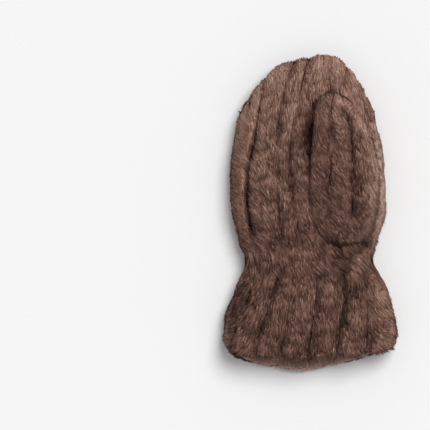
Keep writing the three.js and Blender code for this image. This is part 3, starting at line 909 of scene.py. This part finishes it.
class Fur:
    """Hairs on a shell. Each is a closed blade of four faces: a root in the hide, two points side by
    side at its bend, and a tip. It is combed along the shell, so it follows every curve, and drawn
    towards the tip of its lock."""

    def __init__(self, context, shell, nap_table, seed, spill=(2.5, 2.5), droop=0.0, longer=1.0):
        fur = context.scene.mitten_fur
        self.shell, self.table = shell, nap_table
        self.nap = fur.nap / MM
        self.hair_length = fur.hair_length / MM
        self.width = fur.hair_width / MM
        self.lock = fur.lock_width / MM
        self.gather, self.density, self.painted_groove_shade, self.spill = fur.gather, fur.density, fur.painted_groove_shade, spill
        self.droop, self.longer = droop, longer
        self.random = np.random.default_rng(fur.seed * 100 + seed)

    def roots(self, count, keep=None, u_range=(-1, 1), v_range=(0, 1), density=None):
        """Places spread evenly over the shell: tries over u and v, each kept as often as its share of
        the area asks."""
        tries = int(count * (6 if keep is None else 12))
        u = self.random.uniform(*u_range, tries)
        v = self.random.uniform(*v_range, tries)
        step = 0.003
        across = self.shell.point(np.clip(u + step, -1, 1), v) - self.shell.point(np.clip(u - step, -1, 1), v)
        along = self.shell.point(u, np.clip(v + step, 0, 1)) - self.shell.point(u, np.clip(v - step, 0, 1))
        weight = np.linalg.norm(np.cross(across, along), axis=-1)
        weight = weight / np.quantile(weight, 0.97)
        if density is not None:
            weight = weight * density(u, v)
        kept = self.random.random(tries) < weight
        if keep is not None:
            kept &= keep(u, v)
        u, v = u[kept], v[kept]
        wanted = min(count, len(u))
        return u[:wanted], v[:wanted]

    def combed(self, u, v):
        """The combing angle at u and v, in radians: a smooth curve across in each column of the table,
        then straight lines between the columns along."""
        columns = np.stack([curve(self.table, name, u) for name in NAP_COLUMNS])
        place = np.interp(v, NAP_STATIONS, np.arange(len(NAP_STATIONS)))
        low = np.clip(np.floor(place).astype(int), 0, len(NAP_STATIONS) - 2)
        share = place - low
        at = np.arange(len(u))
        return np.radians(columns[low, at] * (1 - share) + columns[low + 1, at] * share)

    def locks(self, xy):
        """The nearest lock of each place: the shortest way to one jittered centre in each cell of a
        square lattice and its eight neighbours. Returns the way to it and four random numbers that the
        lock's hairs share."""
        size = 64
        jitter = self.random.random((size, size, 2))
        traits = self.random.normal(size=(size, size, 4))
        unit = np.array([self.lock, 2.1 * self.lock])
        cell = np.floor(xy / unit).astype(int)
        best = np.full(len(xy), np.inf)
        way, trait = np.zeros_like(xy), np.zeros((len(xy), 4))
        for i in (-1, 0, 1):
            for j in (-1, 0, 1):
                near = cell + (i, j)
                centre = (near + jitter[near[:, 0] % size, near[:, 1] % size]) * unit
                distance = np.linalg.norm((centre - xy) / unit, axis=1)
                closer = distance < best
                best = np.where(closer, distance, best)
                way = np.where(closer[:, None], centre - xy, way)
                trait = np.where(closer[:, None], traits[near[:, 0] % size, near[:, 1] % size], trait)
        return way, trait

    def walk(self, u, v, angle, reach, way):
        """Steps on u and v of a hair that is as long as reach. Where the shell lies flat, the way seen
        from above is solved against the shell's own slopes, with a pull to the lock's axis. Where it is
        steep, the angle is taken on the shell itself, from its own line along."""
        step = 0.01
        low_u, high_u = np.clip(u - step, -1, 1), np.clip(u + step, -1, 1)
        low_v, high_v = np.clip(v - step, 0, 1), np.clip(v + step, 0, 1)
        across = (self.shell.point(high_u, v) - self.shell.point(low_u, v)) / (high_u - low_u)[:, None]
        along = (self.shell.point(u, high_v) - self.shell.point(u, low_v)) / (high_v - low_v)[:, None]
        width, height = np.linalg.norm(across, axis=1), np.linalg.norm(along, axis=1)
        flat = smoothstep(np.linalg.norm(across[:, :2], axis=1) / width, 0.3, 0.75)
        plan = np.stack([np.sin(angle), -np.cos(angle)], axis=1) * reach[:, None] + way * self.gather
        det = across[:, 0] * along[:, 1] - across[:, 1] * along[:, 0]
        det = np.where(np.abs(det) < 1, np.sign(det + 1e-9), det)
        du = (plan[:, 0] * along[:, 1] - plan[:, 1] * along[:, 0]) / det
        dv = (across[:, 0] * plan[:, 1] - across[:, 1] * plan[:, 0]) / det
        far = np.linalg.norm(across * du[:, None] + along * dv[:, None], axis=1)
        scale = flat * reach / np.maximum(far, 1e-6)
        down = -np.sign(along[:, 1])
        du = du * scale + (1 - flat) * np.sin(angle) * reach / width
        dv = dv * scale + (1 - flat) * down * np.cos(angle) * reach / height
        return du, dv, across, along

    def over(self, u, v, steps, share, height, strip, loose):
        """A point a share of the way along a hair, at a height over the hide. It keeps to its strip.
        Past the shell's edge it runs straight on, but never much further than its spill: what is past
        is bent like 1 less an exponential."""
        du, dv, across, along = steps
        to_v = v + dv * share
        in_v = np.clip(to_v, 0, 1)
        to_u = self.shell.hold(u + du * share, in_v, strip)
        in_u = np.clip(to_u, -1, 1)
        place = self.shell.furry(in_u, in_v, height - self.nap)
        past = across * (to_u - in_u)[:, None] + along * (to_v - in_v)[:, None]
        far = np.linalg.norm(past, axis=1)
        ends = (in_v != to_v) & (in_u == to_u)
        spill = np.where(ends, self.spill[0], self.spill[1]) * loose
        place[:, 2] -= self.droop * np.minimum(far / 8, 1)
        kept = spill * (1 - np.exp(-far / spill)) / np.maximum(far, 1e-6)
        return place + past * kept[:, None]

    def build(self, name, count, materials, shade, lift=None, **where):
        """Roots, bends and tips of all hairs as whole arrays, then their faces and their map. The map's
        first number is the hair's shade and its second runs from root to tip."""
        u, v = self.roots(int(count * self.density), **where)
        n = len(u)
        strip = self.shell.strip(u, v)[0]
        root = self.shell.furry(u, v, np.full(n, -0.4 - self.nap))
        way, trait = self.locks(unrolled(root))
        own = self.random.normal(size=(n, 5))
        loose = np.clip(1 + 0.45 * trait[:, 1] + 0.2 * own[:, 1], 0.3, 2.2)
        angle = self.combed(u, v) + np.radians(6.5 * trait[:, 0] + 6 * own[:, 0])
        reach = self.hair_length * self.longer * np.clip(1 + 0.14 * trait[:, 1] + 0.16 * own[:, 1], 0.45, 1.5)
        steps = self.walk(u, v, angle, reach, way)
        rise = np.clip(1 + 0.1 * trait[:, 2] + 0.2 * own[:, 2], 0.3, 1.5)
        rise = (1 if lift is None else lift(u, v)) * rise
        bend = self.over(u, v, steps, BEND, self.nap * 0.75 * rise, strip, loose)
        tip = self.over(u, v, steps, 1.0, self.nap * 0.85 * rise, strip, loose)
        root[:, 2] = np.maximum(root[:, 2], 0.2)
        bend[:, 2] = np.maximum(bend[:, 2], 0.4)
        tip[:, 2] = np.maximum(tip[:, 2], 0.15)
        side = np.cross(tip - root, (0, 0, 1.0))
        side /= np.maximum(np.linalg.norm(side, axis=1, keepdims=True), 1e-6)
        half = self.width / 2 * np.clip(1 + 0.25 * own[:, 3], 0.5, 1.6)[:, None]
        low = np.einsum("ij,ij->i", np.cross(tip - root, side), bend - root) > 0
        half = np.where(low[:, None], -half, half)
        points = np.stack([root, bend - half * side, bend + half * side, tip], axis=1).reshape(-1, 3)
        faces = (np.arange(n)[:, None, None] * 4 + BLADE).reshape(-1, 3)
        mesh = mesh_of(name, points * MM, faces)
        # The groove term is painted shade: the fur is darkened where the grooves lie in shadow.
        tint = shade(u, v) - self.painted_groove_shade * self.shell.painted_groove_shade(u, v) + 0.045 * trait[:, 3] + 0.14 * own[:, 4]
        tint = np.clip(tint, 0.03, 0.97)
        self.map_hairs(mesh, tint)
        return add_piece(mesh, materials)

    def map_hairs(self, mesh, tint):
        """Each hair's map is a narrow upright strip at its shade, so faces that share a place share a
        colour."""
        spread = 0.004
        across = np.stack([tint, tint - spread, tint + spread, tint], axis=1)[:, BLADE]
        upright = np.broadcast_to(np.array([0, BEND, BEND, 1])[BLADE], across.shape)
        layer = mesh.uv_layers.new(name="OFBake")
        layer.uv.foreach_set("vector", np.stack([across, upright], axis=-1).astype(np.float32).ravel())


def unrolled(points):
    """Places seen from above, with the steep sides laid out flat: there, height moves them in."""
    side = np.sign(points[:, 0]) * np.clip(np.abs(points[:, 0]) / 12 - 3.9, 0, 1)
    return np.stack([points[:, 0] - points[:, 2] * side, points[:, 1]], axis=1)


def new_material(name):
    """An empty material with its node tree, links and shader."""
    material = bpy.data.materials.new(name)
    material.use_nodes = True
    nodes, links = material.node_tree.nodes, material.node_tree.links
    return material, nodes, links, nodes["Principled BSDF"]


def ramp(nodes, stops, interpolation="LINEAR"):
    """A colour ramp with (place, colour) stops."""
    node = nodes.new("ShaderNodeValToRGB")
    node.color_ramp.interpolation = interpolation
    elements = node.color_ramp.elements
    for place, _ in stops[2:]:
        elements.new(place)
    for element, (place, rgb) in zip(elements, stops):
        element.position = place
        element.color = (*rgb, 1)
    return node


def hair_material(fur):
    """The shade of a hair comes from its map's first number, and its darkness near the root from the
    second."""
    material, nodes, links, shader = new_material("combed fur")
    coordinates = nodes.new("ShaderNodeUVMap")
    coordinates.uv_map = "OFBake"
    parts = nodes.new("ShaderNodeSeparateXYZ")
    links.new(coordinates.outputs["UV"], parts.inputs[0])
    shade = ramp(nodes, [(0.0, fur.dark), (0.5, fur.middle), (1.0, fur.pale)])
    links.new(parts.outputs["X"], shade.inputs["Fac"])
    upright = ramp(nodes, [(0.0, (0.22,) * 3), (0.4, (0.78,) * 3), (1.0, (1.0,) * 3)])
    links.new(parts.outputs["Y"], upright.inputs["Fac"])
    mix = nodes.new("ShaderNodeMix")
    mix.data_type, mix.blend_type = "RGBA", "MULTIPLY"
    mix.inputs["Factor"].default_value = 1
    links.new(shade.outputs["Color"], mix.inputs["A"])
    links.new(upright.outputs["Color"], mix.inputs["B"])
    links.new(mix.outputs["Result"], shader.inputs["Base Color"])
    shader.inputs["Roughness"].default_value = 0.58
    shader.inputs["Specular IOR Level"].default_value = 0.3
    return material


def mottled_material(name, dark, light, scale, bump, roughness):
    """A matt surface mottled between two colours by noise on Object coordinates, with a fine bump."""
    material, nodes, links, shader = new_material(name)
    coordinates = nodes.new("ShaderNodeTexCoord")
    noise = nodes.new("ShaderNodeTexNoise")
    noise.inputs["Scale"].default_value = scale
    noise.inputs["Detail"].default_value = 5
    links.new(coordinates.outputs["Object"], noise.inputs["Vector"])
    colours = ramp(nodes, [(0.3, dark), (0.7, light)])
    links.new(noise.outputs["Fac"], colours.inputs["Fac"])
    links.new(colours.outputs["Color"], shader.inputs["Base Color"])
    fine = nodes.new("ShaderNodeTexNoise")
    fine.inputs["Scale"].default_value = scale * 6
    links.new(coordinates.outputs["Object"], fine.inputs["Vector"])
    height = nodes.new("ShaderNodeBump")
    height.inputs["Distance"].default_value = bump * MM
    links.new(fine.outputs["Fac"], height.inputs["Height"])
    links.new(height.outputs["Normal"], shader.inputs["Normal"])
    shader.inputs["Roughness"].default_value = roughness
    shader.inputs["Specular IOR Level"].default_value = 0.2
    return material


def materials_of(context):
    """The mitten's three finishes, made once."""
    fur = context.scene.mitten_fur
    if "combed fur" not in bpy.data.materials:
        hair_material(fur)
        dark, middle = np.array(fur.dark), np.array(fur.middle)
        # The hide's fur side is darkened like the shadowed base of the fur: the underfur's own dark tone with
        # painted shade.
        mottled_material("underfur_and_painted_shade", tuple(dark * 0.5), tuple(dark + (middle - dark) * 0.25), 260, 0.5, 0.95)
        hide = np.array(fur.hide)
        mottled_material("suede", tuple(hide * 0.75), tuple(hide), 180, 0.2, 0.9)
    return bpy.data.materials["combed fur"], [bpy.data.materials["underfur_and_painted_shade"], bpy.data.materials["suede"]]


class MITTEN_OT_hides(bpy.types.Operator):
    """Makes the five hide panels under the fur, with the hole and the hollow for the thumb"""

    bl_idname = "mitten.hides"
    bl_label = "Hide panels"

    def execute(self, context):
        s, (_, walls) = sizes_mm(context), materials_of(context)
        nap = context.scene.mitten_fur.nap / MM
        palm = make_panel(context, "palm_panel", HandShell, True, walls)
        cut_away(palm, thumb_core(s))
        make_panel(context, "back_panel", HandShell, False, walls)
        make_panel(context, "cuff_palm", CuffShell, True, walls)
        make_panel(context, "cuff_back", CuffShell, False, walls)
        shell, p, w, _, bottom = thumb_solid(s, 0.0, lambda w: 0 * w, s.wall / 2)
        top = shell.furry(p, w, -nap * thumb_round(p, w))
        thumb = add_piece(wall_mesh("thumb_hide", top, bottom), walls, ["thumb"])
        cut_away(thumb, thumb_core(s))
        cut_away(thumb, under_palm(s, 0.3 - nap))
        if not palm.data.polygons or not thumb.data.polygons:
            raise RuntimeError("the thumb's hole could not be cut")
        return {"FINISHED"}


def under_thumb(s, u, v):
    """True where the thumb hides the palm."""
    p, w, _ = on_thumb(s, u, v)
    return (np.abs(p) < 0.9) & (w > 0.03) & (w < 0.96)


def thumb_rim(s, u, v):
    """True in a band along the thumb's rim, at its base and its outer side."""
    p, w, _ = on_thumb(s, u, v)
    base = (w > -0.05) & (w < 0.12) & (np.abs(p) < 1)
    side = (w > 0.05) & (w < 0.85) & (p > 0.6) & (p < 1.05)
    return base | side


def palm_shade(u, v):
    """Paler towards the fingertips, partly the fur's own tone and partly painted light where the palm faces
    the lamp, and darker by the wrist, painted shade in the pinch there; less the partings and painted light
    of the table's marks.
    """
    along = 0.17 * smoothstep(v, 0.45, 0.95) - 0.1 * (1 - smoothstep(v, 0, 0.3))
    return 0.42 + along - 0.4 * marks_at(PALM_PARTINGS_AND_PAINTED_LIGHT, u, v)


def palm_lift(u, v):
    """Higher beside the thumb's outer edge, where it fills the crease."""
    beside = 0.35 * np.exp(-(((u - 0.9) / 0.05) ** 2))
    return 1 + beside * smoothstep(v, 0.15, 0.3) * (1 - smoothstep(v, 0.75, 0.9))


def tuft_shade(u, v):
    """Even, with two dark partings where the fur of hand and cuff meets: partly the darker depth of the
    parted fur, partly painted shade in the pinch of the wrist.
    """
    partings = 0.16 * np.exp(-(((u - 0.45) / 0.12) ** 2)) + 0.12 * np.exp(-(((u + 0.55) / 0.08) ** 2))
    return 0.38 - partings


def tuft_density(u, v):
    """Thins out towards both ends of its band and on the thumb's side."""
    return smoothstep(v, 0.3, 0.55) * (1 - smoothstep(v, 0.75, 0.95)) * np.where(u < 0.2, 1.0, 0.7)


def tuft_lift(u, v):
    """A tenth higher than the fur beside it, everywhere."""
    return 1.1 + 0 * v


def back_shade(u, v):
    """Paler towards the fingertips."""
    return 0.42 + 0.1 * smoothstep(v, 0.5, 1)


def cuff_shade(u, v):
    """Slightly paler towards the thumb's side, painted light where the lamp falls, and darker by the wrist,
    painted shade in the gathers there; less the partings and painted light of the table's marks.
    """
    return 0.33 + 0.01 * u - 0.08 * (1 - smoothstep(v, 0, 0.2)) - 0.4 * marks_at(CUFF_PARTINGS_AND_PAINTED_LIGHT, u, v)


def cuff_lift(u, v):
    """The fur of the cuff starts flat under that of the hand."""
    return 0.55 + 0.45 * smoothstep(v, 0, 0.16)


def hem_shade(u, v):
    """Darker under the palm's hem, painted shade where that hem overhangs it, and paler at the edge."""
    return 0.64 + 0.25 * smoothstep(v, 0.55, 1)


class MITTEN_OT_palm_fur(bpy.types.Operator):
    """Combs fur over the palm, in one piece for each side of its middle groove"""

    bl_idname = "mitten.palm_fur"
    bl_label = "Palm fur"

    def execute(self, context):
        s, (hairs, _) = sizes_mm(context), materials_of(context)
        shell = PalmFurShell(s, True)

        def free(u, v):
            return ~under_thumb(s, u, v)

        halves = [
            ("palm_fur_little_side", (-1, -0.15), 41000, 1),
            ("palm_fur_thumb_side", (-0.15, 1), 38000, 2),
        ]
        for name, across, count, seed in halves:
            fur = Fur(context, shell, PALM_NAP, seed, spill=(8, 1.7), droop=1.9)
            fur.build(name, count, [hairs], palm_shade, palm_lift, keep=free, u_range=across)
        rim = Fur(context, ThumbRimShell(s, True), PALM_NAP, 10, spill=(8, 1.7), droop=1.9)
        band = {"keep": lambda u, v: thumb_rim(s, u, v), "u_range": (0, 1)}
        rim.build("thumb_rim_fur", 9000, [hairs], palm_shade, **band)
        tufts = Fur(context, WristShell(s), WRIST_NAP, 9, spill=(1, 1.2), droop=1.0, longer=1.25)
        tufts.gather = 0.5
        band = {"v_range": (0.3, 0.95), "density": tuft_density}
        tufts.build("wrist_tufts", 8000, [hairs], tuft_shade, tuft_lift, **band)
        return {"FINISHED"}


class MITTEN_OT_thumb_fur(bpy.types.Operator):
    """Combs fur over the thumb"""

    bl_idname = "mitten.thumb_fur"
    bl_label = "Thumb fur"

    def execute(self, context):
        s, (hairs, _) = sizes_mm(context), materials_of(context)

        def shade(p, w):
            # Paler towards the tip, less the partings and painted light of the thumb's marks: painted shade
            # in its creases and painted highlights on its lit ridge and outer side.
            return 0.33 + 0.05 * smoothstep(w, 0.3, 0.9) - 0.4 * marks_at(THUMB_PARTINGS_AND_PAINTED_LIGHT, p, w)

        fur = Fur(context, ThumbShell(s), THUMB_NAP, 3, spill=(6, 3), droop=1.0)
        fur.build("thumb_fur", 35000, [hairs], shade)
        return {"FINISHED"}


class MITTEN_OT_cuff_fur(bpy.types.Operator):
    """Combs fur over both halves of the cuff, down to the hem"""

    bl_idname = "mitten.cuff_fur"
    bl_label = "Cuff fur"

    def execute(self, context):
        s, (hairs, _) = sizes_mm(context), materials_of(context)
        palm = Fur(context, CuffShell(s, True, 0.0, PALM_TRIM), CUFF_NAP, 4, spill=(8, 2.2))
        palm.build("cuff_palm_fur", 42000, [hairs], cuff_shade, cuff_lift)
        back = Fur(context, CuffShell(s, False, 0.0, BACK_TRIM), BACK_NAP, 5, spill=(1.5, 1))
        back.build("cuff_back_fur", 17000, [hairs], cuff_shade, cuff_lift)
        nap = context.scene.mitten_fur.nap / MM
        hem = Fur(context, HemShell(s, False, nap), HEM_NAP, 7, spill=(2.5, 1), droop=2.5, longer=0.75)
        hem.build("back_hem_fur", 8000, [hairs], hem_shade)
        hem = Fur(context, HemShell(s, True, nap), HEM_NAP, 8, spill=(2, 1), longer=0.75)
        hem.build("palm_hem_fur", 5000, [hairs], hem_shade)
        return {"FINISHED"}


class MITTEN_OT_back_fur(bpy.types.Operator):
    """Combs fur over the back of the hand, which lies on the surface"""

    bl_idname = "mitten.back_fur"
    bl_label = "Back fur"

    def execute(self, context):
        s, (hairs, _) = sizes_mm(context), materials_of(context)
        back = Fur(context, HandShell(s, False), BACK_NAP, 6, spill=(4, 1))
        back.build("back_fur", 20000, [hairs], back_shade)
        return {"FINISHED"}


class MITTEN_OT_studio(bpy.types.Operator):
    """Lays the pale surface, hangs the soft lights and sets the camera over the mitten"""

    bl_idname = "mitten.studio"
    bl_label = "Studio"

    def execute(self, context):
        look = context.scene.mitten_studio
        material, _, _, shader = new_material("pale surface")
        shader.inputs["Base Color"].default_value = (*look.floor, 1)
        shader.inputs["Roughness"].default_value = 0.9
        shader.inputs["Specular IOR Level"].default_value = 0.1
        reach = 4.0
        points = np.array([[-reach, -reach, 0], [reach, -reach, 0], [reach, reach, 0], [-reach, reach, 0]])
        floor = bpy.data.objects.new("floor", mesh_of("floor", points, np.array([[0, 1, 2, 3]])))
        floor.data.materials.append(material)
        context.scene.collection.objects.link(floor)

        light = bpy.data.lights.new("key", "SUN")
        light.energy, light.angle = look.key_light, look.key_spread
        lamp = bpy.data.objects.new("key", light)
        lamp.rotation_mode = "QUATERNION"
        side, height = look.key_side, look.key_height
        toward = (math.cos(height) * math.cos(side), math.cos(height) * math.sin(side), math.sin(height))
        lamp.rotation_quaternion = Vector(toward).to_track_quat("Z", "Y")
        context.scene.collection.objects.link(lamp)

        world = bpy.data.worlds.new("studio")
        world.use_nodes = True
        world.node_tree.nodes["Background"].inputs["Strength"].default_value = look.sky
        world.node_tree.nodes["Background"].inputs["Color"].default_value = (1, 1, 1, 1)
        context.scene.world = world

        camera = bpy.data.cameras.new("camera")
        camera.sensor_width = 36
        camera.lens = 36 * look.camera_height / look.view_width
        camera.clip_end = 20
        eye = bpy.data.objects.new("camera", camera)
        eye.location = (-0.0823, -0.004, look.camera_height)
        context.scene.collection.objects.link(eye)
        context.scene.camera = eye
        context.scene.view_settings.view_transform = "Standard"
        return {"FINISHED"}


class MITTEN_PT_panel(bpy.types.Panel):
    """Lists the mitten's pieces and its sizes"""

    bl_label = "Fur mitten"
    bl_space_type = "VIEW_3D"
    bl_region_type = "UI"
    bl_category = "Mitten"

    def draw(self, context):
        for operator in OPERATORS:
            self.layout.operator(operator.bl_idname)
        for group, kind in GROUPS.items():
            box = self.layout.box()
            for name in kind.__annotations__:
                box.prop(getattr(context.scene, group), name)


GROUPS = {"mitten_sizes": MittenSizes, "mitten_fur": FurLook, "mitten_studio": StudioLook}
OPERATORS = (
    MITTEN_OT_hides,
    MITTEN_OT_palm_fur,
    MITTEN_OT_thumb_fur,
    MITTEN_OT_cuff_fur,
    MITTEN_OT_back_fur,
    MITTEN_OT_studio,
)


def register():
    for kind in (*GROUPS.values(), *OPERATORS, MITTEN_PT_panel):
        bpy.utils.register_class(kind)
    for name, kind in GROUPS.items():
        setattr(bpy.types.Scene, name, PointerProperty(type=kind))


def unregister():
    for name in GROUPS:
        delattr(bpy.types.Scene, name)
    for kind in (MITTEN_PT_panel, *OPERATORS, *GROUPS.values()):
        bpy.utils.unregister_class(kind)


def main():
    register()
    bpy.ops.mitten.hides()
    bpy.ops.mitten.palm_fur()
    bpy.ops.mitten.thumb_fur()
    bpy.ops.mitten.cuff_fur()
    bpy.ops.mitten.back_fur()
    bpy.ops.mitten.studio()


if __name__ == "__main__":
    main()
